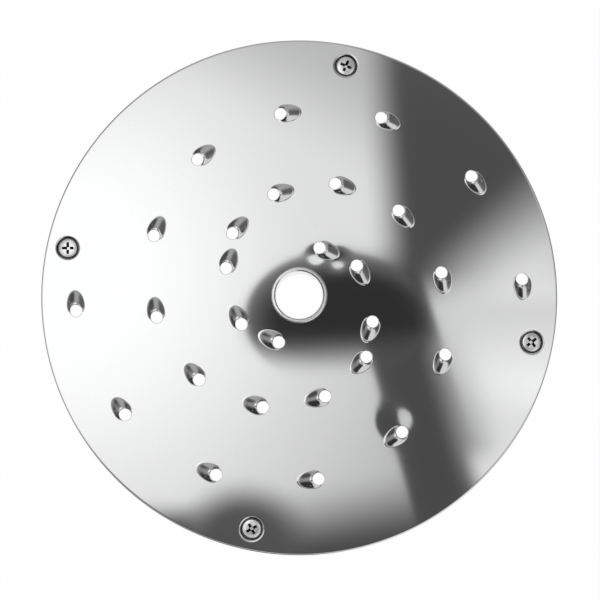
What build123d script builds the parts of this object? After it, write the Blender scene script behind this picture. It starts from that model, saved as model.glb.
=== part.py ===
from build123d import *
import os
from math import asin, atan2, cos, degrees, radians, sin, tan

# Shredding disc of a vegetable cutter, in millimetres.
# It lies as it is used, teeth up: the rim and the hub of the carrier stand on Z = 0, the bore runs
# along Z through the origin, and the four plate screws lie on the X and Y axes.

# Plate: a round stainless sheet
disc_diameter = 205.0
sheet = 1.0

# Carrier: a spoked casting under the plate
carrier_height = 16.0
plate_overhang = 1.0
rim_skirt = 3.0
rim_flange_width = 8.5
rim_flange = 3.5
arm_width = 3.5
arm_depth_at_hub = 12.0
arm_depth_at_rim = 8.0
arm_count = 4
hub_diameter = 31.0
bore_diameter = 19.0
bore_chamfer = 0.5
spigot_wall = 1.6
spigot_height_above_plate = 0.3
spigot_clearance = 0.05
cast_fillet = 1.5
drive_slot_width = 5.2
drive_slot_depth = 6.0

# Teeth: each is a scoop pressed up out of the sheet round a hole, as thick as the sheet. Its lip stands
# over the rear of the hole, its crown slopes back down to its tail, and its two sides end in sloping
# fronts beside the hole. Tail and front are measured from the hole's centre.
tooth_hole_diameter = 4.7
tooth_radius = 3.6
tooth_tail = 7.8
tooth_lip_height = 1.95
tooth_front = 0.9
tooth_front_slope = 34.0

# Tooth pattern: spirals of teeth that step inwards and round, from the rim to the hub
spiral_count = 2
teeth_per_spiral = 14
tooth_edge_distance = 13.8
tooth_hub_distance = 4.95
tooth_turn = 30.0
first_tooth_turn = 6.8
tooth_lead = 13.5
# This tooth would stand over an arm, so it is turned back clear of it
moved_tooth = 11
moved_tooth_turn = -11.3

# Screws: countersunk, with a cross recess, one at the end of each arm
screw_edge_distance = 8.5
screw_thread_diameter = 4.0
screw_length = 12.0
screw_head_diameter = 7.8
head_recess = 0.4
head_fit = 0.05
countersink_angle = 90.0
thread_clearance = 0.05
boss_diameter = 11.0
boss_depth = 12.0
cross_span = 4.65
cross_slot = 1.1
cross_depth = 2.0
cross_foot = 1.8
# How far the cross of each screw is turned, from the screw on +X round to the one on -Y
screw_turns = (49.0, 77.5, 11.5, 40.5)

# Sizes that follow from those above
plate_top = carrier_height + sheet
disc_radius = disc_diameter / 2
rim_radius = disc_radius - plate_overhang
skirt_inside = rim_radius - rim_skirt
hub_radius = hub_diameter / 2
bore_radius = bore_diameter / 2
spigot_radius = bore_radius + spigot_wall
tooth_hole_radius = tooth_hole_diameter / 2
tooth_slope = atan2(tooth_lip_height, tooth_tail - tooth_hole_radius)
tooth_run = 2 * tooth_tail
outer_tooth_radius = disc_radius - tooth_edge_distance
inner_tooth_radius = hub_radius + tooth_hub_distance
tooth_pitch = (outer_tooth_radius - inner_tooth_radius) / (teeth_per_spiral - 1)
screw_circle_radius = disc_radius - screw_edge_distance
head_radius = screw_head_diameter / 2
thread_radius = screw_thread_diameter / 2
head_spread = tan(radians(countersink_angle / 2))
# The seat of a screw head is one cone through the sheet and on into the carrier's boss
seat_radius_at_plate_top = head_radius + head_recess * head_spread + head_fit
seat_radius_at_carrier = seat_radius_at_plate_top - sheet * head_spread


def tooth_places():
    """Places of the tooth holes on the plate's upper side, each facing the way it cuts."""
    places = []
    for spiral in range(spiral_count):
        for tooth in range(teeth_per_spiral):
            radius = outer_tooth_radius - tooth * tooth_pitch
            angle = first_tooth_turn + tooth * tooth_turn + degrees(asin(tooth_lead / radius))
            if tooth == moved_tooth:
                angle += moved_tooth_turn
            angle += spiral * 360 / spiral_count
            x = radius * cos(radians(angle))
            y = radius * sin(radians(angle))
            places.append(Location((x, y, plate_top), (0, 0, angle + 90)))
    return places


# The crown of a tooth leaves the sheet at the tail, square to this plane
crown_plane = Plane(
    origin=(-tooth_tail, 0, 0),
    x_dir=(0, 1, 0),
    z_dir=(cos(tooth_slope), 0, sin(tooth_slope)),
)

# Outside of one tooth: a sloping round bar under the crown, cut off at its front
with BuildPart() as tooth_blank:
    with BuildSketch(crown_plane):
        with Locations((0, -tooth_radius)):
            Circle(tooth_radius)
    extrude(amount=tooth_run, both=True)
    split(bisect_by=Plane.XY.offset(-sheet / 2), keep=Keep.TOP)
    front = radians(tooth_front_slope)
    split(
        bisect_by=Plane(origin=(tooth_front, 0, 0), z_dir=(-sin(front), 0, -cos(front))),
        keep=Keep.TOP,
    )

# Inside of one tooth: the punch that presses it up from below, as wide as the hole, one sheet lower
with BuildPart() as tooth_core:
    with BuildSketch(crown_plane):
        with Locations((0, -sheet - tooth_hole_radius)):
            Circle(tooth_hole_radius)
    extrude(amount=tooth_run, both=True)
    split(bisect_by=Plane(origin=(0, 0, 0), z_dir=(-1, 0, 0)), keep=Keep.TOP)

# Shredding plate
with BuildPart() as shredding_plate:
    with BuildSketch(Plane.XY.offset(carrier_height)):
        Circle(disc_radius)
        Circle(spigot_radius + spigot_clearance, mode=Mode.SUBTRACT)
    extrude(amount=sheet)
    teeth = tooth_places()
    with Locations(*teeth):
        add(tooth_blank.part)
    with Locations(*teeth):
        add(tooth_core.part, mode=Mode.SUBTRACT)
    with Locations(*teeth):
        Hole(tooth_hole_radius)
    with Locations((0, 0, plate_top)):
        with PolarLocations(screw_circle_radius, arm_count):
            CounterSinkHole(
                thread_radius,
                seat_radius_at_plate_top,
                counter_sink_angle=countersink_angle,
            )
shredding_plate.part.label = "shredding_plate"

# One arm of the carrier, from inside the hub's wall into the skirt of the rim, deeper at the hub
with BuildPart() as arm:
    with BuildSketch(Plane.XZ):
        with BuildLine():
            arm_start = (bore_radius + hub_radius) / 2
            arm_end = (skirt_inside + rim_radius) / 2
            Polyline(
                (arm_start, carrier_height),
                (arm_end, carrier_height),
                (arm_end, carrier_height - arm_depth_at_rim),
                (arm_start, carrier_height - arm_depth_at_hub),
                close=True,
            )
        make_face()
    extrude(amount=arm_width / 2, both=True)

# Carrier: hub, arms, screw bosses and rim in one casting
with BuildPart() as carrier:
    with BuildSketch(Plane.XZ):
        with BuildLine():
            flange_inside = rim_radius - rim_flange_width
            flange_under = carrier_height - rim_flange
            Polyline(
                (flange_inside, carrier_height),
                (rim_radius, carrier_height),
                (rim_radius, 0),
                (skirt_inside, 0),
                (skirt_inside, flange_under),
                (flange_inside, flange_under),
                close=True,
            )
        make_face()
    revolve(axis=Axis.Z)
    with BuildSketch(Plane.XZ):
        with BuildLine():
            spigot_top = plate_top + spigot_height_above_plate
            Polyline(
                (bore_radius + bore_chamfer, 0),
                (hub_radius, 0),
                (hub_radius, carrier_height),
                (spigot_radius, carrier_height),
                (spigot_radius, spigot_top),
                (bore_radius + bore_chamfer, spigot_top),
                (bore_radius, spigot_top - bore_chamfer),
                (bore_radius, bore_chamfer),
                close=True,
            )
        make_face()
    revolve(axis=Axis.Z)
    with PolarLocations(0, arm_count):
        add(arm.part)
    with Locations((0, 0, carrier_height)):
        with PolarLocations(screw_circle_radius, arm_count):
            Cylinder(boss_diameter / 2, boss_depth, align=(Align.CENTER, Align.CENTER, Align.MAX))
    # The upright corners of the casting where the two sides of each arm leave the hub
    upright = carrier.edges().filter_by(GeomType.LINE).filter_by(Axis.Z)
    hub_corners = upright.sort_by_distance((0, 0, carrier_height))[: 2 * arm_count]
    fillet(hub_corners, cast_fillet)
    with Locations((0, 0, carrier_height)):
        with PolarLocations(screw_circle_radius, arm_count):
            CounterSinkHole(
                thread_radius,
                seat_radius_at_carrier,
                depth=boss_depth,
                counter_sink_angle=countersink_angle,
            )
    # Slot across the underside of the hub, for the cross pin of the drive shaft
    with BuildSketch(Plane.XY):
        Rectangle(2 * hub_diameter, drive_slot_width, rotation=180 / arm_count)
    extrude(amount=drive_slot_depth, mode=Mode.SUBTRACT)
carrier.part.label = "carrier"

# One countersunk screw, its head's upper side at Z = 0
with BuildPart() as screw:
    with BuildSketch(Plane.XZ):
        with BuildLine():
            shank_radius = thread_radius - thread_clearance
            head_foot = (head_radius - shank_radius) / head_spread
            Polyline(
                (0, 0),
                (head_radius, 0),
                (shank_radius, -head_foot),
                (shank_radius, -screw_length),
                (0, -screw_length),
                close=True,
            )
        make_face()
    revolve(axis=Axis.Z)
    # The two crossing slots narrow towards the foot of the recess
    with BuildSketch(Plane.XZ, Plane.YZ):
        with BuildLine():
            Polyline(
                (-cross_span / 2, 0),
                (cross_span / 2, 0),
                (cross_foot / 2, -cross_depth),
                (-cross_foot / 2, -cross_depth),
                close=True,
            )
        make_face()
    extrude(amount=cross_slot / 2, both=True, mode=Mode.SUBTRACT)

# The four screws are alike and share one node
with BuildPart() as plate_screws:
    for number, turn in enumerate(screw_turns):
        angle = radians(number * 360 / arm_count)
        x = screw_circle_radius * cos(angle)
        y = screw_circle_radius * sin(angle)
        with Locations(Location((x, y, plate_top - head_recess), (0, 0, turn))):
            add(screw.part)
plate_screws.part.label = "plate_screws"

os.makedirs("parts", exist_ok=True)
export_step(shredding_plate.part, "parts/shredding_plate.step")
export_step(carrier.part, "parts/carrier.step")
export_step(plate_screws.part, "parts/plate_screws.step")
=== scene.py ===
"""Shredding disc of a vegetable cutter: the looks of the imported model, its studio and its camera."""

from __future__ import annotations

import logging
from dataclasses import dataclass, field
from enum import Enum
from math import asin, atan2, cos, degrees, exp, hypot, pi, radians, sin, sqrt, tan
from typing import Sequence

import bmesh
import bpy
from mathutils import Matrix, Vector

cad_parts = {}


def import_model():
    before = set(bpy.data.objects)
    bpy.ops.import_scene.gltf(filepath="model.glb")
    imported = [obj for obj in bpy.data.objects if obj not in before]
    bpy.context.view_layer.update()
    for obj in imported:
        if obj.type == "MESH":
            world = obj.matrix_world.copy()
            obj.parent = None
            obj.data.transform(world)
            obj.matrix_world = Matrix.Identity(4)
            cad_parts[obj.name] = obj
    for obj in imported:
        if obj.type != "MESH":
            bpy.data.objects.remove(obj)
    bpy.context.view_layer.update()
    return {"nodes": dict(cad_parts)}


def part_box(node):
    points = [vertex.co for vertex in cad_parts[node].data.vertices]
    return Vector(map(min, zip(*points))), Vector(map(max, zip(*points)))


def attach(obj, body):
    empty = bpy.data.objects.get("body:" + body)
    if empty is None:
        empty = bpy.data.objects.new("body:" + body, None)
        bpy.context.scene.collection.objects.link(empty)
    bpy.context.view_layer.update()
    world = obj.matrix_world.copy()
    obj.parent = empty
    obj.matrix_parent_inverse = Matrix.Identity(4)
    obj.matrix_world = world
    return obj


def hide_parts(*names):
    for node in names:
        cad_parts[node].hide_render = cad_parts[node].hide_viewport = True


LOG = logging.getLogger("shredding_disc")
MM = 0.001
BODY = "root"
SHARP_ANGLE = radians(38.0)

# How near to a height a point counts as level with it
LEVEL_REACH = 0.01 * MM

# Material number that marks the faces of the plate's flat upper side while it is divided
FLAT_SIDE = 1

# The search for a pressed height: steps of the first look down, and halvings after it
SEARCH_STEPS = 16
SEARCH_HALVINGS = 24

# How polishing lines run over the metal, and how much longer than wide they are
LINE_TURN = radians(24.0)
LINE_STRETCH = 50.0

# The studio camera: how the picture is turned against the disc, and where it stands over the plate
PICTURE_TURN = radians(11.49)
CAMERA_TILT = radians(3.6)
CAMERA_DISTANCE = 579.5 * MM


def picture_axes() -> tuple[Vector, Vector]:
    """The picture's right and up directions, as directions over the disc."""
    right = Vector((cos(PICTURE_TURN), sin(PICTURE_TURN), 0.0))
    return right, Vector((-right.y, right.x, 0.0))


class Nodes:
    """A node tree with short calls that add, set and link its nodes."""

    def __init__(self, tree: bpy.types.NodeTree) -> None:
        """Starts on an emptied tree."""
        self.tree = tree
        tree.nodes.clear()

    def add(self, kind: str, **settings: object) -> bpy.types.Node:
        """Adds one node.

        Args:
            kind: the node's type name.
            settings: attributes of the node, set as they are given.

        Returns:
            The new node.
        """
        node = self.tree.nodes.new(kind)
        for name, value in settings.items():
            setattr(node, name, value)
        return node

    def feed(self, node: bpy.types.Node, socket: str | int, value: object) -> None:
        """Links an output to a node's input, or sets the input to a plain value.

        Args:
            node: the node that takes the value.
            socket: the name or number of its input.
            value: an output socket, or a number, colour or vector.
        """
        target = node.inputs[socket]
        if isinstance(value, bpy.types.NodeSocket):
            self.tree.links.new(value, target)
        else:
            target.default_value = value

    def math(self, operation: str, *values: object) -> bpy.types.NodeSocket:
        """Adds a Math node on up to three values and returns its output."""
        node = self.add("ShaderNodeMath", operation=operation)
        for number, value in enumerate(values):
            self.feed(node, number, value)
        return node.outputs[0]

    def ramp(self, value: object, low: float, high: float, bottom: object,
             top: object) -> bpy.types.NodeSocket:
        """Adds a smooth step from one level to another.

        Args:
            value: what the step is measured along.
            low: where the step starts.
            high: where it ends.
            bottom: the level before it.
            top: the level after it.

        Returns:
            The output that carries the level.
        """
        node = self.add("ShaderNodeMapRange", interpolation_type="SMOOTHSTEP")
        for number, item in enumerate((value, low, high, bottom, top)):
            self.feed(node, number, item)
        return node.outputs[0]

    def blend(self, share: object, first: object, second: object) -> bpy.types.NodeSocket:
        """Adds a mix of two plain values and returns its output."""
        node = self.add("ShaderNodeMix", data_type="FLOAT")
        for number, value in enumerate((share, first, second)):
            self.feed(node, (0, 2, 3)[number], value)
        return node.outputs[0]


def surface_marks() -> bpy.types.NodeTree:
    """Builds, once, the group of marks that all metal finishes share.

    Returns:
        The node group, with the outputs Haze, Lines and Grit, each from 0 to 1 and changing over the surface.
    """
    known = bpy.data.node_groups.get("surface_marks")
    if known:
        return known
    tree = bpy.data.node_groups.new("surface_marks", "ShaderNodeTree")
    nodes = Nodes(tree)
    for name, start in (("Haze Scale", 40.0), ("Line Scale", 900.0), ("Grit Scale", 2500.0)):
        tree.interface.new_socket(name, in_out="INPUT", socket_type="NodeSocketFloat").default_value = start
    for name in ("Haze", "Lines", "Grit"):
        tree.interface.new_socket(name, in_out="OUTPUT", socket_type="NodeSocketFloat")
    given = nodes.add("NodeGroupInput")
    result = nodes.add("NodeGroupOutput")
    place = nodes.add("ShaderNodeTexCoord").outputs["Object"]
    stretched = nodes.add("ShaderNodeMapping")
    nodes.feed(stretched, "Vector", place)
    nodes.feed(stretched, "Rotation", (0.0, 0.0, LINE_TURN))
    nodes.feed(stretched, "Scale", (1.0 / LINE_STRETCH, 1.0, 1.0))
    sources = (("Haze", "Haze Scale", place, 3.0), ("Lines", "Line Scale", stretched.outputs[0], 2.0),
               ("Grit", "Grit Scale", place, 2.0))
    for name, scale, vector, detail in sources:
        noise = nodes.add("ShaderNodeTexNoise")
        nodes.feed(noise, "Vector", vector)
        nodes.feed(noise, "Scale", given.outputs[scale])
        nodes.feed(noise, "Detail", detail)
        nodes.feed(result, name, noise.outputs["Fac"])
    return tree


@dataclass(frozen=True)
class MetalFinish:
    """A bare metal surface: its colour, its gloss and the marks that its making leaves.

    Attributes:
        name: name of the material.
        colour: reflected colour of the clean metal.
        roughness: gloss of the clean metal.
        haze: how much the gloss drifts over the surface.
        lines: how much fine polishing lines change the gloss.
        haze_scale: how many drifts there are along a metre.
        line_scale: how many lines there are across a metre.
        grit_scale: how many grains there are along a metre.
        relief: height of the grain.
        shade: how much darker the hollows of the grain are.
    """

    name: str
    colour: tuple[float, float, float]
    roughness: float
    haze: float
    lines: float
    haze_scale: float = 40.0
    line_scale: float = 900.0
    grit_scale: float = 2500.0
    relief: float = 0.0
    shade: float = 0.05

    def material(self) -> bpy.types.Material:
        """Builds the material.

        Returns:
            A metal whose gloss, colour and relief follow the shared surface marks.
        """
        material = bpy.data.materials.new(self.name)
        material.use_nodes = True
        nodes = Nodes(material.node_tree)
        out = nodes.add("ShaderNodeOutputMaterial")
        metal = nodes.add("ShaderNodeBsdfPrincipled")
        nodes.feed(metal, "Metallic", 1.0)
        marks = nodes.add("ShaderNodeGroup", node_tree=surface_marks())
        nodes.feed(marks, "Haze Scale", self.haze_scale)
        nodes.feed(marks, "Line Scale", self.line_scale)
        nodes.feed(marks, "Grit Scale", self.grit_scale)
        drift = nodes.math("MULTIPLY_ADD", marks.outputs["Haze"], self.haze, self.roughness - self.haze / 2)
        gloss = nodes.math("MULTIPLY_ADD", marks.outputs["Lines"], self.lines, drift)
        nodes.feed(metal, "Roughness", gloss)
        tone = nodes.add("ShaderNodeMix", data_type="RGBA")
        nodes.feed(tone, 0, marks.outputs["Grit"])
        nodes.feed(tone, 6, (*(part * (1.0 - self.shade) for part in self.colour), 1.0))
        nodes.feed(tone, 7, (*self.colour, 1.0))
        nodes.feed(metal, "Base Color", tone.outputs[2])
        if self.relief:
            bump = nodes.add("ShaderNodeBump")
            nodes.feed(bump, "Distance", self.relief)
            nodes.feed(bump, "Height", marks.outputs["Grit"])
            nodes.feed(metal, "Normal", bump.outputs[0])
        nodes.feed(out, "Surface", metal.outputs[0])
        return material


PLATE_STEEL = MetalFinish("plate_steel_polished", (0.75, 0.752, 0.756), 0.03, 0.008, 0.008)
SCREW_STEEL = MetalFinish("screw_steel_satin", (0.9, 0.9, 0.905), 0.18, 0.05, 0.05, haze_scale=300.0)
# Dark, rough steel: painted shade on the steep walls of the screw seats, in the screws' cross recesses and on
# the sides of their heads.
PAINTED_SHADE_STEEL = MetalFinish("steel_painted_shade_in_recesses", (0.13, 0.13, 0.128), 0.5, 0.1, 0.04,
                         haze_scale=300.0, shade=0.3)
CAST_ALLOY = MetalFinish("carrier_alloy_cast", (0.76, 0.765, 0.775), 0.36, 0.1, 0.04,
                         grit_scale=1400.0, relief=0.12 * MM, shade=0.18)
TURNED_ALLOY = MetalFinish("carrier_alloy_turned", (0.9, 0.9, 0.905), 0.2, 0.05, 0.08, line_scale=2400.0)


def loop_edges(verts: Sequence[bmesh.types.BMVert]) -> list[bmesh.types.BMEdge]:
    """The edges whose two ends are both among the given vertices."""
    chosen = set(verts)
    return list({edge for vert in verts for edge in vert.link_edges if edge.other_vert(vert) in chosen})


def drawn_on(mesh: bmesh.types.BMesh, verts: Sequence[bmesh.types.BMVert]) -> list[bmesh.types.BMVert]:
    """Draws a loop of vertices on with new faces and returns the new loop, still lying on the old one."""
    grown = bmesh.ops.extrude_edge_only(mesh, edges=loop_edges(verts))["geom"]
    return [item for item in grown if isinstance(item, bmesh.types.BMVert)]


def ring(mesh: bmesh.types.BMesh, segments: int, radius: float, height: float,
         centre: tuple[float, float] = (0.0, 0.0)) -> list[bmesh.types.BMVert]:
    """Lays one open circle of vertices, level at a height, and returns them."""
    matrix = Matrix.Translation((*centre, height))
    circle = bmesh.ops.create_circle(mesh, cap_ends=False, segments=segments, radius=radius, matrix=matrix)
    return circle["verts"]


def draw_rings(mesh: bmesh.types.BMesh, verts: list[bmesh.types.BMVert], stops: Sequence[tuple[float, float]],
               centre: tuple[float, float] = (0.0, 0.0)) -> list[bmesh.types.BMVert]:
    """Draws a circle on through further circles, which makes a turned surface.

    Args:
        mesh: the mesh that holds the circle.
        verts: the vertices of the circle to start from.
        stops: radius and height of each further circle.
        centre: the axis of the circles.

    Returns:
        The vertices of the last circle.
    """
    for radius, height in stops:
        verts = drawn_on(mesh, verts)
        for vert in verts:
            away = Vector((vert.co.x - centre[0], vert.co.y - centre[1])).normalized() * radius
            vert.co = (centre[0] + away.x, centre[1] + away.y, height)
    return verts


def arc(centre: tuple[float, float], radius: float, start: float, end: float,
        steps: int) -> list[tuple[float, float]]:
    """Points of an arc in a profile, as distances from the axis and heights.

    Args:
        centre: centre of the arc, as a distance from the axis and a height.
        radius: radius of the arc.
        start: where the arc starts, in degrees.
        end: where it ends, in degrees.
        steps: how many equal steps it has.

    Returns:
        The points, with both ends.
    """
    turns = [radians(start + (end - start) * step / steps) for step in range(steps + 1)]
    return [(centre[0] + radius * cos(turn), centre[1] + radius * sin(turn)) for turn in turns]


def finished_object(mesh: bmesh.types.BMesh, name: str, *materials: bpy.types.Material) -> bpy.types.Object:
    """Makes a smooth-shaded object with sharp edges kept, and puts it in the scene.

    Args:
        mesh: the modelled mesh, which is freed; its faces already say which material they have.
        name: name of the piece.
        materials: its finishes.

    Returns:
        The new object, at the origin.
    """
    bmesh.ops.recalc_face_normals(mesh, faces=mesh.faces)
    for face in mesh.faces:
        face.smooth = True
    for edge in mesh.edges:
        edge.smooth = edge.calc_face_angle(0.0) < SHARP_ANGLE
    data = bpy.data.meshes.new(name)
    mesh.to_mesh(data)
    mesh.free()
    for material in materials:
        data.materials.append(material)
    piece = bpy.data.objects.new(name, data)
    bpy.context.scene.collection.objects.link(piece)
    return piece


def join_softly(first: float, second: float, reach: float) -> float:
    """The lesser of two distances, rounded off where they are within reach of each other."""
    near = max(reach - abs(first - second), 0.0) / reach
    return min(first, second) - near * near * reach / 4.0


@dataclass(frozen=True)
class RingStop:
    """An oval round a tooth, to which its rings are drawn out from the oval before it.

    Attributes:
        behind: how far the oval's centre lies behind the hole's.
        along: half its length.
        across: half its width.
        steps: how many rings lead up to it.
    """

    behind: float
    along: float
    across: float
    steps: int = 0


@dataclass(frozen=True)
class PressedScoop:
    """One side of a sheet with a scoop pressed up out of it, round a hole at the origin.

    Attributes:
        level: height of the flat sheet on this side.
        radius: radius of the sloping bar that the scoop is part of.
        tail: where the scoop's crown leaves the sheet, behind the hole's centre.
        slope: angle between the crown and the sheet.
        crest: height towards which the crown bends level at the lip.
        crest_bend: how softly it bends there.
        front: where the scoop's sides come down to the sheet, ahead of the hole's centre.
        front_slope: how steep the fronts of the sides are.
        egg: the egg-shaped outline that bounds the scoop on the sheet.
        fillet: how far the root of the scoop is rounded.
        rounding: how far its front edges are rounded.
        dome: how far its crown is rounded over towards the outline.
    """

    level: float
    radius: float
    tail: float
    slope: float
    crest: float
    crest_bend: float
    front: float
    front_slope: float
    egg: RingStop
    fillet: float
    rounding: float
    dome: float

    def distance(self, x: float, y: float, z: float) -> float:
        """How far a point is outside the pressed sheet, negative inside it."""
        behind = x + self.tail
        above = z - self.level
        under_crown = above * cos(self.slope) - behind * sin(self.slope) + self.radius
        inside = self.radius - hypot(under_crown, y)
        inside = join_softly(inside, self.crest - z, self.crest_bend)
        ahead = (self.front - x) * sin(self.front_slope) - above * cos(self.front_slope)
        inside = join_softly(inside, ahead, self.rounding)
        within = 1.0 - hypot((x + self.egg.behind) / self.egg.along, y / self.egg.across)
        inside = join_softly(inside, within * self.egg.across, self.dome)
        return join_softly(-inside, above, self.fillet)

    def height(self, x: float, y: float) -> float:
        """Height of the pressed sheet over a point of its plane.

        Args:
            x: place along the cutting direction, from the hole's centre.
            y: place across it.

        Returns:
            The height of the surface.
        """
        step = self.radius / SEARCH_STEPS
        high = self.level + 2.0 * self.radius
        while self.distance(x, y, high - step) > 0.0:
            high -= step
        low = high - step
        for _ in range(SEARCH_HALVINGS):
            middle = (low + high) / 2.0
            if self.distance(x, y, middle) > 0.0:
                high = middle
            else:
                low = middle
        return high


@dataclass(frozen=True)
class Tooth:
    """One tooth: a scoop pressed up round a hole, its lip over the rear of the hole."""

    hole_radius: float = 2.35 * MM
    sheet: float = 1.0 * MM
    radius: float = 4.8 * MM
    tail: float = 8.3 * MM
    slope: float = radians(17.1)
    crest: float = 2.2 * MM
    crest_bend: float = 0.9 * MM
    front: float = 0.85 * MM
    front_slope: float = radians(27.0)
    egg: RingStop = RingStop(3.1 * MM, 5.15 * MM, 3.35 * MM)
    root_fillet: float = 0.65 * MM
    rounding: float = 0.8 * MM
    dome: float = 1.85 * MM
    lip_roll: float = 0.1 * MM
    front_roll: float = 0.14 * MM
    roll_reach: float = 0.2 * MM
    roll_steps: int = 4
    segments: int = 64
    outline: RingStop = RingStop(2.95 * MM, 6.6 * MM, 4.5 * MM, 2)

    def upper_side(self) -> PressedScoop:
        """The pressed form of the upper side."""
        return PressedScoop(0.0, self.radius, self.tail, self.slope, self.crest, self.crest_bend, self.front,
                            self.front_slope, self.egg, self.root_fillet, self.rounding, self.dome)

    def under_side(self) -> PressedScoop:
        """The pressed form of the underside, one sheet below the upper side."""
        nearer = self.sheet * (1.0 / cos(self.slope) - 1.0) / tan(self.slope)
        egg = RingStop(self.egg.behind, self.egg.along - self.sheet, self.egg.across - self.sheet)
        return PressedScoop(-self.sheet, self.radius - self.sheet, self.tail - nearer, self.slope,
                            self.crest - self.sheet, self.crest_bend, 0.0, pi / 2, egg, self.rounding,
                            self.rounding, self.dome)

    def edge_drop(self, turn: float, share: float) -> float:
        """How far the rolled edge of the hole lies below the pressed form.

        Args:
            turn: place round the hole, 0 at its front.
            share: place across the rolled edge, from 0 at the hole to 1 where it ends.

        Returns:
            The drop of the edge, deeper at the front than under the lip.
        """
        roll = self.lip_roll + (self.front_roll - self.lip_roll) * (0.5 + 0.5 * cos(turn))
        return roll * (1.0 - sqrt(1.0 - (1.0 - share) ** 2))

    def upper_stops(self) -> tuple[RingStop, ...]:
        """The ovals of the upper side, from the hole's rolled edge outwards, each round the one before."""
        return (
            RingStop(2.2 * MM, 5.1 * MM, 3.15 * MM, 7),
            RingStop(2.7 * MM, 6.2 * MM, 3.9 * MM, 7),
            self.outline,
        )

    def under_stops(self) -> tuple[RingStop, ...]:
        """The ovals of the underside, from the hole outwards, each round the one before."""
        return (
            RingStop(2.2 * MM, 4.9 * MM, 2.95 * MM, 4),
            RingStop(2.8 * MM, 5.9 * MM, 3.4 * MM, 3),
            self.outline,
        )

    @staticmethod
    def turn_layer(mesh: bmesh.types.BMesh) -> bmesh.types.BMLayerItem:
        """The layer that keeps each vertex's turn round the hole."""
        return mesh.verts.layers.float.get("turn") or mesh.verts.layers.float.new("turn")

    def draw_side(self, mesh: bmesh.types.BMesh, verts: list[bmesh.types.BMVert], start: RingStop,
                  stops: Sequence[RingStop], side: PressedScoop) -> None:
        """Draws one side of the sheet outwards, ring by ring, on the pressed form.

        Args:
            mesh: the tooth's mesh.
            verts: the ring that the others start from.
            start: the oval of that ring.
            stops: the ovals to reach, one after the other.
            side: the pressed form of this side.
        """
        layer = self.turn_layer(mesh)
        for stop in stops:
            for step in range(1, stop.steps + 1):
                share = step / stop.steps
                behind = start.behind + (stop.behind - start.behind) * share
                along = start.along + (stop.along - start.along) * share
                across = start.across + (stop.across - start.across) * share
                verts = drawn_on(mesh, verts)
                for vert in verts:
                    x = along * cos(vert[layer]) - behind
                    y = across * sin(vert[layer])
                    vert.co = (x, y, side.height(x, y))
            start = stop

    def draw_edge(self, mesh: bmesh.types.BMesh, verts: list[bmesh.types.BMVert],
                  side: PressedScoop) -> list[bmesh.types.BMVert]:
        """Draws the rolled edge of the hole out from its wall.

        Args:
            mesh: the tooth's mesh.
            verts: the upper ring of the hole's wall.
            side: the pressed form of the upper side.

        Returns:
            The last ring of the rolled edge.
        """
        layer = self.turn_layer(mesh)
        for step in range(self.roll_steps + 1):
            share = step / self.roll_steps
            radius = self.hole_radius + self.roll_reach * share
            verts = drawn_on(mesh, verts) if step else verts
            for vert in verts:
                x = radius * cos(vert[layer])
                y = radius * sin(vert[layer])
                vert.co = (x, y, side.height(x, y) - self.edge_drop(vert[layer], share))
        return verts

    def build(self) -> bpy.types.Mesh:
        """Models the tooth round the origin, cutting towards +X, the sheet's upper side at Z = 0.

        Returns:
            The tooth's mesh: both sides of the sheet out to the outline, and the wall of the hole.
        """
        mesh = bmesh.new()
        layer = self.turn_layer(mesh)
        upper = self.upper_side()
        under = self.under_side()
        top = ring(mesh, self.segments, self.hole_radius, 0.0)
        for vert in top:
            vert[layer] = atan2(vert.co.y, vert.co.x)
        foot = drawn_on(mesh, top)
        for vert in foot:
            vert.co.z = under.height(vert.co.x, vert.co.y)
        rolled = self.draw_edge(mesh, top, upper)
        edge = self.hole_radius + self.roll_reach
        self.draw_side(mesh, rolled, RingStop(0.0, edge, edge), self.upper_stops(), upper)
        hole = RingStop(0.0, self.hole_radius, self.hole_radius)
        self.draw_side(mesh, foot, hole, self.under_stops(), under)
        data = bpy.data.meshes.new("tooth")
        mesh.to_mesh(data)
        mesh.free()
        return data


@dataclass(frozen=True)
class ToothPattern:
    """The spirals of teeth, which step inwards and round from the rim to the hub."""

    spirals: int = 2
    teeth: int = 14
    outer_radius: float = 88.7 * MM
    inner_radius: float = 20.45 * MM
    turn: float = 30.0
    first_turn: float = 6.8
    lead: float = 13.5 * MM
    moved_tooth: int = 11
    moved_turn: float = -11.3

    def places(self, height: float) -> list[Matrix]:
        """Where each tooth stands, facing the way it cuts.

        Args:
            height: height of the plate's upper side.

        Returns:
            One matrix for each tooth.
        """
        places = []
        pitch = (self.outer_radius - self.inner_radius) / (self.teeth - 1)
        for spiral in range(self.spirals):
            for tooth in range(self.teeth):
                radius = self.outer_radius - tooth * pitch
                angle = self.first_turn + tooth * self.turn + degrees(asin(self.lead / radius))
                if tooth == self.moved_tooth:
                    angle += self.moved_turn
                angle = radians(angle + spiral * 360.0 / self.spirals)
                shift = Matrix.Translation((radius * cos(angle), radius * sin(angle), height))
                places.append(shift @ Matrix.Rotation(angle + pi / 2, 4, "Z"))
        return places


@dataclass(frozen=True)
class Dent:
    """A shallow hollow that the press left in the sheet beside a tooth.

    Attributes:
        tooth: number of the tooth in the pattern.
        ahead: how far its middle lies ahead of the tooth's hole.
        inward: how far it lies beside it, towards the hub.
        depth: how deep it is.
        reach: how far out it falls to about a third of that.
    """

    tooth: int
    ahead: float
    inward: float
    depth: float
    reach: float


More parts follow.
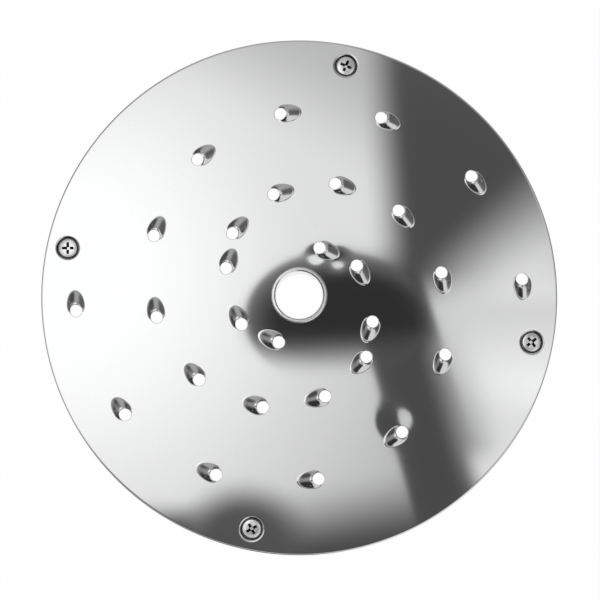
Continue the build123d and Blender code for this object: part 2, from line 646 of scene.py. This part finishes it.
@dataclass
class ShreddingPlate:
    """The round polished sheet with its teeth, its hub hole and its screw seats."""

    radius: float
    bottom: float
    sheet: float = 1.0 * MM
    edge_radius: float = 0.42 * MM
    flat_margin: float = 0.5 * MM
    hub_hole_radius: float = 11.15 * MM
    hub_edge_break: float = 0.08 * MM
    screw_circle_radius: float = 94.0 * MM
    screw_count: int = 4
    seat_radius: float = 4.4 * MM
    seat_rounding: float = 1.62 * MM
    seat_dip: float = 24.0
    seat_wall: float = radians(64.0)
    rim_segments: int = 256
    hole_segments: int = 96
    seat_segments: int = 64
    finest: float = 1.5 * MM
    refine_rounds: int = 7
    smooth_rounds: int = 2
    dent_margin: float = 2.6
    fill_turn: float = radians(38.9)
    tooth: Tooth = field(default_factory=Tooth)
    pattern: ToothPattern = field(default_factory=ToothPattern)
    dents: tuple[Dent, ...] = (
        Dent(18, 0.9 * MM, 4.7 * MM, 0.068 * MM, 5.9 * MM),
        Dent(13, 0.3 * MM, 3.0 * MM, 0.03 * MM, 3.0 * MM),
        Dent(13, -8.5 * MM, 1.5 * MM, 0.03 * MM, 3.5 * MM),
    )

    @property
    def top(self) -> float:
        """Height of the sheet's upper side."""
        return self.bottom + self.sheet

    def screw_places(self) -> list[tuple[float, float]]:
        """The axes of the four screws."""
        reach = self.screw_circle_radius
        turns = [2 * pi * number / self.screw_count for number in range(self.screw_count)]
        return [(reach * cos(turn), reach * sin(turn)) for turn in turns]

    def add_rim(self, mesh: bmesh.types.BMesh) -> None:
        """Rolls the outer edge of the sheet round from its upper side to its underside."""
        edge = self.edge_radius
        inset = self.radius - edge
        over = arc((inset, self.top - edge), edge, 90.0, 0.0, 5)
        under = arc((inset, self.bottom + edge), edge, 0.0, -90.0, 5)
        start = ring(mesh, self.rim_segments, inset - self.flat_margin, self.top)
        draw_rings(mesh, start, over + under + [(inset - self.flat_margin, self.bottom)])

    def add_hub_hole(self, mesh: bmesh.types.BMesh) -> None:
        """Cuts the wall of the hole that the hub's spigot stands in."""
        broken = self.hub_hole_radius + self.hub_edge_break
        start = ring(mesh, self.hole_segments, broken + self.flat_margin, self.top)
        draw_rings(mesh, start, [(broken, self.top), (self.hub_hole_radius, self.top - self.hub_edge_break),
                                 (self.hub_hole_radius, self.bottom)])

    def add_seats(self, mesh: bmesh.types.BMesh) -> None:
        """Sinks the seats of the screw heads: the sheet dips round each and then drops steeply."""
        outside = self.seat_radius + self.seat_rounding * sin(radians(self.seat_dip))
        dip = arc((outside, self.top - self.seat_rounding), self.seat_rounding, 90.0, 90.0 + self.seat_dip, 5)
        foot = self.seat_radius - (dip[-1][1] - self.bottom) / tan(self.seat_wall)
        for centre in self.screw_places():
            start = ring(mesh, self.seat_segments, outside + self.flat_margin, self.top, centre)
            draw_rings(mesh, start, dip + [(foot, self.bottom)], centre)

    def is_seat_wall(self, face: bmesh.types.BMFace) -> bool:
        """Whether a face is part of the steep wall of a screw's seat, which gets the dark finish of painted
        shade.
        """
        middle = face.calc_center_median()
        return any(hypot(middle.x - x, middle.y - y) < self.seat_radius for x, y in self.screw_places())

    def add_teeth(self, mesh: bmesh.types.BMesh) -> None:
        """Sets a copy of the tooth in each place of the pattern."""
        model = self.tooth.build()
        for place in self.pattern.places(self.top):
            before = len(mesh.verts)
            mesh.from_mesh(model)
            mesh.verts.ensure_lookup_table()
            bmesh.ops.transform(mesh, matrix=place, verts=mesh.verts[before:])
        bpy.data.meshes.remove(model)

    def fill_level(self, mesh: bmesh.types.BMesh, height: float) -> list[bmesh.types.BMFace]:
        """Fills one flat side of the sheet between the rim, the holes and the teeth.

        Args:
            mesh: the plate's mesh, whose open edges at this height bound the side.
            height: height of the side.

        Returns:
            The new faces.
        """
        edges = [edge for edge in mesh.edges if edge.is_boundary
                 and all(abs(vert.co.z - height) < LEVEL_REACH for vert in edge.verts)]
        filled = bmesh.ops.triangle_fill(mesh, use_beauty=True, use_dissolve=False, edges=edges)["geom"]
        return [item for item in filled if isinstance(item, bmesh.types.BMFace)]

    @staticmethod
    def flat_faces(mesh: bmesh.types.BMesh) -> list[bmesh.types.BMFace]:
        """The faces of the flat side that is being divided."""
        return [face for face in mesh.faces if face.material_index == FLAT_SIDE]

    @staticmethod
    def flat_edges(mesh: bmesh.types.BMesh) -> list[bmesh.types.BMEdge]:
        """The edges inside that flat side."""
        return [edge for edge in mesh.edges
                if all(face.material_index == FLAT_SIDE for face in edge.link_faces)]

    def dent_places(self) -> list[Vector]:
        """The middles of the dents, on the sheet's upper side."""
        places = self.pattern.places(self.top)
        return [places[dent.tooth] @ Vector((dent.ahead, dent.inward, 0.0)) for dent in self.dents]

    def is_near_dent(self, edge: bmesh.types.BMEdge) -> bool:
        """Whether an edge of the flat side may reach into a dent."""
        middle = (edge.verts[0].co + edge.verts[1].co) / 2
        half = edge.calc_length() / 2
        return any((middle - place).length < half + self.dent_margin * dent.reach
                   for dent, place in zip(self.dents, self.dent_places()))

    def refine(self, mesh: bmesh.types.BMesh, faces: list[bmesh.types.BMFace]) -> None:
        """Divides a filled side into small, even triangles where it is to be dented.

        Args:
            mesh: the plate's mesh.
            faces: the faces of the side.
        """
        for face in faces:
            face.material_index = FLAT_SIDE
        for _ in range(self.refine_rounds):
            long_edges = [edge for edge in self.flat_edges(mesh)
                          if edge.calc_length() > self.finest and self.is_near_dent(edge)]
            bmesh.ops.subdivide_edges(mesh, edges=long_edges, cuts=1)
            bmesh.ops.triangulate(mesh, faces=self.flat_faces(mesh))
            faces, edges = self.flat_faces(mesh), self.flat_edges(mesh)
            bmesh.ops.beautify_fill(mesh, faces=faces, edges=edges, method="ANGLE")
            loose = [vert for vert in mesh.verts
                     if all(face.material_index == FLAT_SIDE for face in vert.link_faces)]
            for _ in range(self.smooth_rounds):
                bmesh.ops.smooth_vert(mesh, verts=loose, factor=0.5, use_axis_x=True, use_axis_y=True)

    def sink_dents(self, mesh: bmesh.types.BMesh) -> None:
        """Sinks the dents into both sides of the sheet."""
        for dent, centre in zip(self.dents, self.dent_places()):
            for vert in mesh.verts:
                away = hypot(vert.co.x - centre.x, vert.co.y - centre.y) / dent.reach
                vert.co.z -= dent.depth * exp(-away * away)

    def build(self, finish: MetalFinish, painted_shade: MetalFinish) -> bpy.types.Object:
        """Models the plate.

        Args:
            finish: the finish of the sheet.
            painted_shade: the dark finish of the walls of the seats, painted shade in the gap round each
                screw head.

        Returns:
            The plate, in place.
        """
        mesh = bmesh.new()
        self.add_rim(mesh)
        self.add_hub_hole(mesh)
        self.add_seats(mesh)
        self.add_teeth(mesh)
        # Turned a little, no two rings have points level with each other, which would upset the fill
        turn = Matrix.Rotation(self.fill_turn, 3, "Z")
        bmesh.ops.rotate(mesh, matrix=turn, verts=mesh.verts)
        upper = self.fill_level(mesh, self.top)
        self.fill_level(mesh, self.bottom)
        bmesh.ops.rotate(mesh, matrix=turn.transposed(), verts=mesh.verts)
        self.refine(mesh, upper)
        self.sink_dents(mesh)
        # The steep walls of the seats get the dark finish: painted shade in the gap round each screw head.
        for face in mesh.faces:
            face.material_index = int(self.is_seat_wall(face))
        plate = finished_object(mesh, "plate_sheet", finish.material(), painted_shade.material())
        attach(plate, BODY)
        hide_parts("shredding_plate")
        return plate


@dataclass
class PlateScrews:
    """The four countersunk screws, with a cross recess in each head."""

    top: float
    places: Sequence[tuple[float, float]]
    head_radius: float = 3.9 * MM
    head_recess: float = 0.4 * MM
    head_edge: float = 0.45 * MM
    crown: float = 0.06 * MM
    shank_radius: float = 1.95 * MM
    length: float = 12.0 * MM
    point_chamfer: float = 0.6 * MM
    cross_span: float = 4.65 * MM
    cross_slot: float = 1.1 * MM
    cross_corner: float = 0.22 * MM
    corner_steps: int = 3
    merge: float = 0.001 * MM
    cross_depth: float = 1.7 * MM
    cross_foot: float = 1.2 * MM
    cross_draft: float = 0.94
    segments: int = 64
    # Faces tilted further than this from level get painted shade.
    bright_tilt: float = radians(25.0)
    turns: tuple[float, ...] = (49.0, 77.5, 11.5, 40.5)

    def cross_outline(self, mesh: bmesh.types.BMesh) -> list[bmesh.types.BMVert]:
        """Lays the outline of the cross recess at Z = 0, with rounded corners, and returns its vertices."""
        half = self.cross_slot / 2
        end = self.cross_span / 2
        verts = []
        for quarter in range(4):
            turn = Matrix.Rotation(quarter * pi / 2, 3, "Z")
            for corner in ((end, -half), (end, half), (half, half)):
                verts.append(mesh.verts.new(turn @ Vector((*corner, 0.0))))
        for number, vert in enumerate(verts):
            mesh.edges.new((vert, verts[(number + 1) % len(verts)]))
        rounded = bmesh.ops.bevel(mesh, geom=verts, offset=self.cross_corner, offset_type="OFFSET",
                                  segments=self.corner_steps, profile=0.5, affect="VERTICES", material=-1)
        return rounded["verts"]

    def build_one(self) -> bpy.types.Mesh:
        """Models one screw on the Z axis, the edge of its head's upper side at Z = 0."""
        mesh = bmesh.new()
        cross = self.cross_outline(mesh)
        rim = self.head_radius - self.head_edge
        head = ring(mesh, self.segments, rim, 0.0)
        face_edges = loop_edges(cross) + loop_edges(head)
        bmesh.ops.triangle_fill(mesh, use_beauty=True, use_dissolve=False, edges=face_edges)
        for vert in cross:
            vert.co.z = self.crown
        mouth = [edge for edge in loop_edges(cross) if edge.is_boundary]
        walls = bmesh.ops.extrude_edge_only(mesh, edges=mouth)
        foot = [item for item in walls["geom"] if isinstance(item, bmesh.types.BMVert)]
        reach = self.cross_foot / 2
        for vert in foot:
            vert.co.x = max(-reach, min(reach, vert.co.x)) * self.cross_draft
            vert.co.y = max(-reach, min(reach, vert.co.y)) * self.cross_draft
            vert.co.z = -self.cross_depth
        bmesh.ops.remove_doubles(mesh, verts=foot, dist=self.merge)
        half_depth = self.cross_depth / 2
        deep = [edge for edge in mesh.edges if edge.is_boundary and edge.verts[0].co.z < -half_depth]
        bmesh.ops.holes_fill(mesh, edges=deep)
        rounding = arc((rim, -self.head_edge), self.head_edge, 90.0, 0.0, 4)[1:]
        foot_height = -self.head_edge - (self.head_radius - self.shank_radius)
        profile = rounding + [
            (self.shank_radius, foot_height),
            (self.shank_radius, self.point_chamfer - self.length),
            (self.shank_radius - self.point_chamfer, -self.length),
        ]
        end = draw_rings(mesh, head, profile)
        bmesh.ops.holes_fill(mesh, edges=loop_edges(end))
        data = bpy.data.meshes.new("screw")
        mesh.to_mesh(data)
        mesh.free()
        return data

    def build(self, finish: MetalFinish, painted_shade: MetalFinish) -> bpy.types.Object:
        """Models the four screws, each turned as it was tightened.

        Args:
            finish: the finish of the screws' level faces.
            painted_shade: the dark finish of their recesses and of the sides of their heads, painted shade.

        Returns:
            One object with the four screws, in place.
        """
        mesh = bmesh.new()
        model = self.build_one()
        for (x, y), turn in zip(self.places, self.turns):
            before = len(mesh.verts)
            mesh.from_mesh(model)
            mesh.verts.ensure_lookup_table()
            seat = Matrix.Translation((x, y, self.top - self.head_recess))
            place = seat @ Matrix.Rotation(radians(turn), 4, "Z")
            bmesh.ops.transform(mesh, matrix=place, verts=mesh.verts[before:])
        bpy.data.meshes.remove(model)
        bmesh.ops.recalc_face_normals(mesh, faces=mesh.faces)
        # Faces tilted away from level, in the cross recess and on the sides of the head, get painted shade.
        for face in mesh.faces:
            face.material_index = int(abs(face.normal.z) < cos(self.bright_tilt))
        screws = finished_object(mesh, "countersunk_screws", finish.material(), painted_shade.material())
        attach(screws, BODY)
        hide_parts("plate_screws")
        return screws


@dataclass
class Carrier:
    """The spoked casting under the plate: rounded cast edges, and a hub and seats that are turned bright."""

    node: bpy.types.Object
    screw_places: Sequence[tuple[float, float]]
    edge_radius: float = 0.45 * MM
    edge_steps: int = 3
    merge: float = 0.002 * MM
    level_angle: float = radians(0.5)
    hub_radius: float = 11.4 * MM
    spigot_radius: float = 11.1 * MM
    spigot_break: float = 0.3 * MM
    screw_hole_reach: float = 4.6 * MM
    faced: float = 0.05 * MM

    def is_cast_edge(self, edge: bmesh.types.BMEdge) -> bool:
        """Whether an edge is a sharp one that the mould rounds, and not one that is cut afterwards."""
        middle = (edge.verts[0].co + edge.verts[1].co) / 2
        if not edge.is_manifold or edge.calc_face_angle() < SHARP_ANGLE:
            return False
        if hypot(middle.x, middle.y) < self.hub_radius:
            return False
        return all(hypot(middle.x - x, middle.y - y) > self.screw_hole_reach for x, y in self.screw_places)

    def is_spigot_edge(self, edge: bmesh.types.BMEdge, top: float) -> bool:
        """Whether an edge is part of the outer rim of the spigot, whose upper end is at the given height."""
        inside = self.spigot_radius - self.spigot_break
        return all(top - vert.co.z < self.merge and hypot(vert.co.x, vert.co.y) > inside
                   for vert in edge.verts)

    def is_turned(self, face: bmesh.types.BMFace) -> bool:
        """Whether a face is cut on the lathe: the bore, the spigot and the faces that it stands on."""
        middle = face.calc_center_median()
        if hypot(middle.x, middle.y) < self.hub_radius:
            return True
        return max(vert.co.z for vert in face.verts) < self.faced

    def round_edges(self, mesh: bmesh.types.BMesh, edges: list[bmesh.types.BMEdge], radius: float) -> None:
        """Rounds edges of the casting off.

        Args:
            mesh: the carrier's mesh.
            edges: the edges to round.
            radius: how far they are rounded.
        """
        bmesh.ops.bevel(mesh, geom=edges, offset=radius, offset_type="OFFSET", segments=self.edge_steps,
                        profile=0.5, affect="EDGES", material=-1, clamp_overlap=False)

    def build(self, cast: MetalFinish, turned: MetalFinish) -> bpy.types.Object:
        """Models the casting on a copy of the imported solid.

        Args:
            cast: the finish of the cast skin.
            turned: the finish of the surfaces that are cut on the lathe.

        Returns:
            The carrier, in place.
        """
        mesh = bmesh.new()
        mesh.from_mesh(self.node.data)
        bmesh.ops.remove_doubles(mesh, verts=mesh.verts, dist=self.merge)
        bmesh.ops.dissolve_limit(mesh, angle_limit=self.level_angle, verts=mesh.verts, edges=mesh.edges)
        cast_edges = [edge for edge in mesh.edges if self.is_cast_edge(edge)]
        self.round_edges(mesh, cast_edges, self.edge_radius)
        top = max(vert.co.z for vert in mesh.verts)
        spigot_edges = [edge for edge in mesh.edges if self.is_spigot_edge(edge, top)]
        self.round_edges(mesh, spigot_edges, self.spigot_break)
        bmesh.ops.triangulate(mesh, faces=mesh.faces)
        for face in mesh.faces:
            face.material_index = int(self.is_turned(face))
        carrier = finished_object(mesh, "carrier_casting", cast.material(), turned.material())
        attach(carrier, BODY)
        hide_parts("carrier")
        return carrier


class SoftForm(Enum):
    """Outline of a soft-edged area of the studio's sky."""

    OVAL = "oval"
    SIDE = "side"


@dataclass(frozen=True)
class SoftArea:
    """A soft-edged area of the sky.

    The ceiling's areas are placed where the flat plate mirrors them to the camera, in millimetres on it.
    The walls' areas are placed by the level parts of their direction, from -1 to 1.

    Attributes:
        form: an oval, or one side of a line.
        centre: its middle, or a point on its line.
        size: half its length and width, for an oval.
        turn: how far it is turned, in degrees; a side lies the way that it is turned.
        softness: share of its size, or for a side the length, over which its edge fades each way.
    """

    form: SoftForm
    centre: tuple[float, float]
    size: tuple[float, float] = (1.0, 1.0)
    turn: float = 0.0
    softness: float = 0.2

    def mask(self, nodes: Nodes, place: bpy.types.NodeSocket) -> bpy.types.NodeSocket:
        """Adds the nodes of the area.

        Args:
            nodes: the world's nodes.
            place: the direction's place, in the units of the area.

        Returns:
            An output that is 1 inside the area and 0 outside it.
        """
        local = nodes.add("ShaderNodeMapping", vector_type="TEXTURE")
        nodes.feed(local, "Vector", place)
        nodes.feed(local, "Location", (*self.centre, 0.0))
        nodes.feed(local, "Rotation", (0.0, 0.0, radians(self.turn)))
        nodes.feed(local, "Scale", (*self.size, 1.0))
        if self.form is SoftForm.OVAL:
            length = nodes.add("ShaderNodeVectorMath", operation="LENGTH")
            nodes.feed(length, 0, local.outputs[0])
            return nodes.ramp(length.outputs["Value"], 1.0 - self.softness, 1.0 + self.softness, 1.0, 0.0)
        parts = nodes.add("ShaderNodeSeparateXYZ")
        nodes.feed(parts, 0, local.outputs[0])
        return nodes.ramp(parts.outputs[0], -self.softness, self.softness, 0.0, 1.0)


@dataclass(frozen=True)
class StudioPanel:
    """A lamp panel or a dark card of the studio, where all of its areas overlap.

    Attributes:
        name: what it is.
        level: how bright it is; white is 1.
        areas: the areas that bound it.
        cover: how much it hides of what is behind it.
    """

    name: str
    level: float
    areas: tuple[SoftArea, ...]
    cover: float = 1.0


STUDIO_PANELS = (
    StudioPanel("soft box on the left", 1.36, (
        SoftArea(SoftForm.OVAL, (-95.0, 9.5), (69.0, 72.0), softness=0.62),
    )),
    StudioPanel("soft box on the right", 1.46, (
        SoftArea(SoftForm.OVAL, (99.5, -22.5), (32.0, 20.0), softness=0.58),
    )),
    StudioPanel("fall of light at the top", 0.45, (
        SoftArea(SoftForm.SIDE, (0.0, 80.5), turn=59.0, softness=23.0),
    ), cover=0.6),
    StudioPanel("dark corner of the room", 0.092, (
        SoftArea(SoftForm.SIDE, (37.0, 0.0), turn=3.0, softness=9.5),
        SoftArea(SoftForm.SIDE, (65.5, 7.5), turn=134.0, softness=19.5),
    )),
    StudioPanel("dark strip down to the front", 0.084, (
        SoftArea(SoftForm.SIDE, (32.5, -41.5), turn=15.5, softness=1.0),
        SoftArea(SoftForm.SIDE, (65.0, -41.5), turn=196.0, softness=14.0),
        SoftArea(SoftForm.SIDE, (0.0, 13.0), turn=-90.0, softness=9.5),
    )),
    StudioPanel("stand of the camera", 0.19, (
        SoftArea(SoftForm.OVAL, (14.5, -9.0), (36.0, 26.5), softness=0.025),
        SoftArea(SoftForm.SIDE, (0.0, -23.5), turn=93.0, softness=10.5),
    )),
    StudioPanel("camera", 0.034, (
        SoftArea(SoftForm.OVAL, (18.5, -10.5), (36.0, 22.0), softness=0.27),
        SoftArea(SoftForm.SIDE, (0.0, -23.5), turn=93.0, softness=10.5),
    )),
    StudioPanel("white card on the right", 0.87, (
        SoftArea(SoftForm.SIDE, (54.0, -9.5), turn=17.0, softness=1.0),
        SoftArea(SoftForm.SIDE, (0.0, 1.5), turn=-90.0, softness=9.0),
        SoftArea(SoftForm.SIDE, (0.0, -32.0), turn=90.0, softness=32.0),
    )),
    StudioPanel("fall of light at the front", 0.02, (
        SoftArea(SoftForm.SIDE, (29.0, -53.0), turn=-30.0, softness=60.0),
        SoftArea(SoftForm.SIDE, (32.5, -41.5), turn=195.5, softness=1.0),
    ), cover=0.49),
    StudioPanel("white card at the front right", 1.32, (
        SoftArea(SoftForm.SIDE, (69.0, -69.0), turn=14.5, softness=4.5),
        SoftArea(SoftForm.SIDE, (0.0, -65.5), turn=-90.0, softness=8.5),
    )),
    StudioPanel("dark front of the room", 0.09, (
        SoftArea(SoftForm.SIDE, (0.0, -88.0), turn=-81.0, softness=15.0),
    )),
    StudioPanel("dark front of the room, left", 0.05, (
        SoftArea(SoftForm.SIDE, (0.0, -86.0), turn=-90.0, softness=7.0),
        SoftArea(SoftForm.SIDE, (-39.0, 0.0), turn=180.0, softness=9.5),
    )),
    StudioPanel("dark front of the room, near", 0.11, (
        SoftArea(SoftForm.OVAL, (-22.0, -97.5), (22.0, 19.5), softness=0.42),
    )),
)

# The walls round the ceiling, as the teeth mirror them
WALL_PANELS = (
    StudioPanel("lit wall at the top", 0.46, (
        SoftArea(SoftForm.OVAL, (0.05, 0.95), (0.4, 0.5), softness=0.5),
    )),
    StudioPanel("dark wall on the right", 0.14, (
        SoftArea(SoftForm.OVAL, (0.72, 0.22), (0.45, 0.38), softness=0.5),
    )),
    StudioPanel("dark wall at the top left", 0.09, (
        SoftArea(SoftForm.OVAL, (-0.68, 0.64), (0.36, 0.36), softness=0.5),
    )),
    StudioPanel("dark wall at the bottom left", 0.04, (
        SoftArea(SoftForm.OVAL, (-0.33, -0.78), (0.55, 0.5), softness=0.45),
    )),
    StudioPanel("window at the bottom right", 0.85, (
        SoftArea(SoftForm.SIDE, (0.11, 0.0), softness=0.1),
        SoftArea(SoftForm.SIDE, (0.33, -0.14), turn=-127.0, softness=0.12),
    )),
)


@dataclass
class Studio:
    """The white floor, the sky of lamp panels and dark cards, and the camera.

    Attributes:
        plate_top: height of the plate's upper side, which the camera aims at.
        floor_size: edge of the square floor.
        floor_gap: how far the floor lies under the disc.
        floor_white: how much light the floor throws back.
        floor_glow: how much of the floor's white stays in the object's shadow.
        wall_level: how bright the room is at the horizon.
        wall_rise: how much brighter it would be straight up.
        ceiling_edge: where the lit ceiling with its panels starts and is whole, as the sine of the elevation.
        panel_reach: how far out the panels hang, as a place on the plate in millimetres.
        panel_fade: share of that over which they fade out.
        lowest_place: sine of the lowest elevation that has a place on the plate.
        sensor: width of the camera's sensor in millimetres.
        lens: the camera's focal length in millimetres.
        shift: how far the picture is shifted, in picture widths.
        nearest: how near to the camera it starts to see.
    """

    plate_top: float
    floor_size: float = 6.0
    floor_gap: float = 0.1 * MM
    floor_white: float = 0.92
    floor_glow: float = 0.985
    wall_level: float = 0.03
    wall_rise: float = 0.4
    ceiling_edge: tuple[float, float] = (0.915, 0.983)
    panel_reach: float = 165.0
    panel_fade: float = 0.2
    lowest_place: float = 0.05
    sensor: float = 36.0
    lens: float = 87.6
    shift: tuple[float, float] = (0.00132, -0.0084)
    nearest: float = 10.0 * MM

    def add_floor(self) -> bpy.types.Object:
        """Lays the white floor, which keeps a faint shadow of the object, and returns it."""
        mesh = bmesh.new()
        bmesh.ops.create_grid(mesh, x_segments=1, y_segments=1, size=self.floor_size / 2,
                              matrix=Matrix.Translation((0.0, 0.0, -self.floor_gap)))
        material = bpy.data.materials.new("studio_floor_white")
        material.use_nodes = True
        nodes = Nodes(material.node_tree)
        out = nodes.add("ShaderNodeOutputMaterial")
        matt = nodes.add("ShaderNodeBsdfDiffuse")
        nodes.feed(matt, "Color", (self.floor_white, self.floor_white, self.floor_white, 1.0))
        glow = nodes.add("ShaderNodeEmission")
        rays = nodes.add("ShaderNodeLightPath")
        seen = nodes.math("MAXIMUM", rays.outputs["Is Camera Ray"], rays.outputs["Is Glossy Ray"])
        seen = nodes.math("MAXIMUM", seen, rays.outputs["Is Transmission Ray"])
        mix = nodes.add("ShaderNodeMixShader")
        nodes.feed(mix, 0, nodes.math("MULTIPLY", seen, self.floor_glow))
        nodes.feed(mix, 1, matt.outputs[0])
        nodes.feed(mix, 2, glow.outputs[0])
        # From below the floor is open, so that the underside of the disc can be looked at
        sides = nodes.add("ShaderNodeMixShader")
        nodes.feed(sides, 0, nodes.add("ShaderNodeNewGeometry").outputs["Backfacing"])
        nodes.feed(sides, 1, mix.outputs[0])
        nodes.feed(sides, 2, nodes.add("ShaderNodeBsdfTransparent").outputs[0])
        nodes.feed(out, "Surface", sides.outputs[0])
        floor = finished_object(mesh, "studio_floor", material)
        return floor

    def mirrored_place(self, nodes: Nodes, direction: bpy.types.Node) -> bpy.types.NodeSocket:
        """Adds the nodes that say where on the flat plate the camera sees a direction of the sky mirrored.

        Args:
            nodes: the world's nodes.
            direction: the node that gives the direction's parts, turned to the picture.

        Returns:
            The place on the plate in millimetres, along the picture's right and up.
        """
        reach = CAMERA_DISTANCE * cos(CAMERA_TILT) / MM
        back = CAMERA_DISTANCE * sin(CAMERA_TILT) / MM
        high = nodes.math("MAXIMUM", direction.outputs[2], self.lowest_place)
        right = nodes.math("MULTIPLY", nodes.math("DIVIDE", direction.outputs[0], high), reach)
        up = nodes.math("MULTIPLY_ADD", nodes.math("DIVIDE", direction.outputs[1], high), reach, -back)
        place = nodes.add("ShaderNodeCombineXYZ")
        nodes.feed(place, 0, right)
        nodes.feed(place, 1, up)
        return place.outputs[0]

    @staticmethod
    def hang(nodes: Nodes, panels: Sequence[StudioPanel], place: bpy.types.NodeSocket, level: object,
             hung: object) -> bpy.types.NodeSocket:
        """Hangs panels one in front of the other.

        Args:
            nodes: the world's nodes.
            panels: the panels, the hindmost first.
            place: the place that their areas are measured in.
            level: how bright it is behind them.
            hung: how much of them there is at all.

        Returns:
            The brightness with all panels hung.
        """
        for panel in panels:
            cover = nodes.math("MULTIPLY", hung, panel.cover)
            for area in panel.areas:
                cover = nodes.math("MULTIPLY", area.mask(nodes, place), cover)
            level = nodes.blend(cover, level, panel.level)
        return level

    def add_sky(self) -> None:
        """Hangs the sky: white to the camera, lamp panels and dark cards to everything else."""
        world = bpy.data.worlds.new("studio_sky")
        bpy.context.scene.world = world
        world.use_nodes = True
        nodes = Nodes(world.node_tree)
        turned = nodes.add("ShaderNodeMapping", vector_type="TEXTURE")
        nodes.feed(turned, "Vector", nodes.add("ShaderNodeTexCoord").outputs["Generated"])
        nodes.feed(turned, "Rotation", (0.0, 0.0, PICTURE_TURN))
        direction = nodes.add("ShaderNodeSeparateXYZ")
        nodes.feed(direction, 0, turned.outputs[0])
        place = self.mirrored_place(nodes, direction)
        reach = (self.panel_reach, self.panel_reach)
        whole = SoftArea(SoftForm.OVAL, (0.0, 0.0), reach, softness=self.panel_fade)
        ceiling = self.hang(nodes, STUDIO_PANELS, place, 1.0, whole.mask(nodes, place))
        level_way = nodes.add("ShaderNodeCombineXYZ")
        nodes.feed(level_way, 0, direction.outputs[0])
        nodes.feed(level_way, 1, direction.outputs[1])
        height = nodes.math("MAXIMUM", direction.outputs[2], 0.0)
        bare = nodes.math("MULTIPLY_ADD", height, self.wall_rise, self.wall_level)
        walls = self.hang(nodes, WALL_PANELS, level_way.outputs[0], bare, 1.0)
        level = nodes.blend(nodes.ramp(direction.outputs[2], *self.ceiling_edge, 0.0, 1.0), walls, ceiling)
        rays = nodes.add("ShaderNodeLightPath")
        background = nodes.add("ShaderNodeBackground")
        nodes.feed(background, "Color", (1.0, 1.0, 1.0, 1.0))
        nodes.feed(background, "Strength", nodes.blend(rays.outputs["Is Camera Ray"], level, 1.0))
        out = nodes.add("ShaderNodeOutputWorld")
        nodes.feed(out, "Surface", background.outputs[0])

    def add_camera(self) -> None:
        """Sets the camera over the disc, tilted a little towards the bottom of the picture."""
        data = bpy.data.cameras.new("studio_camera")
        data.sensor_width = self.sensor
        data.lens = self.lens
        data.shift_x, data.shift_y = self.shift
        data.clip_start = self.nearest
        camera = bpy.data.objects.new("studio_camera", data)
        bpy.context.scene.collection.objects.link(camera)
        right, up = picture_axes()
        back = Vector((0.0, 0.0, cos(CAMERA_TILT))) - up * sin(CAMERA_TILT)
        over = back.cross(right)
        place = Vector((0.0, 0.0, self.plate_top)) + back * CAMERA_DISTANCE
        rotation = Matrix((right, over, back)).transposed()
        camera.matrix_world = Matrix.Translation(place) @ rotation.to_4x4()
        bpy.context.scene.camera = camera

    def build(self) -> None:
        """Sets up the whole studio."""
        bpy.context.scene.view_settings.view_transform = "Standard"
        self.add_floor()
        self.add_sky()
        self.add_camera()


def report(piece: bpy.types.Object) -> None:
    """Logs a piece's name, its faces and its open edges, of which a closed piece has none."""
    mesh = bmesh.new()
    mesh.from_mesh(piece.data)
    open_edges = sum(not edge.is_manifold for edge in mesh.edges)
    LOG.info("%s: %d faces, %d open edges", piece.name, len(mesh.faces), open_edges)
    mesh.free()


def main() -> None:
    """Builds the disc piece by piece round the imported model, and then its studio."""
    logging.basicConfig(level=logging.INFO, format="%(message)s")
    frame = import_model()
    low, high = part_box("shredding_plate")
    plate = ShreddingPlate(radius=round((high.x - low.x) / 2, 4), bottom=low.z)
    sheet = plate.build(PLATE_STEEL, PAINTED_SHADE_STEEL)
    report(sheet)
    screws = PlateScrews(plate.top, plate.screw_places()).build(SCREW_STEEL, PAINTED_SHADE_STEEL)
    report(screws)
    casting = Carrier(frame["nodes"]["carrier"], plate.screw_places()).build(CAST_ALLOY, TURNED_ALLOY)
    report(casting)
    Studio(plate.top).build()


if __name__ == "__main__":
    main()
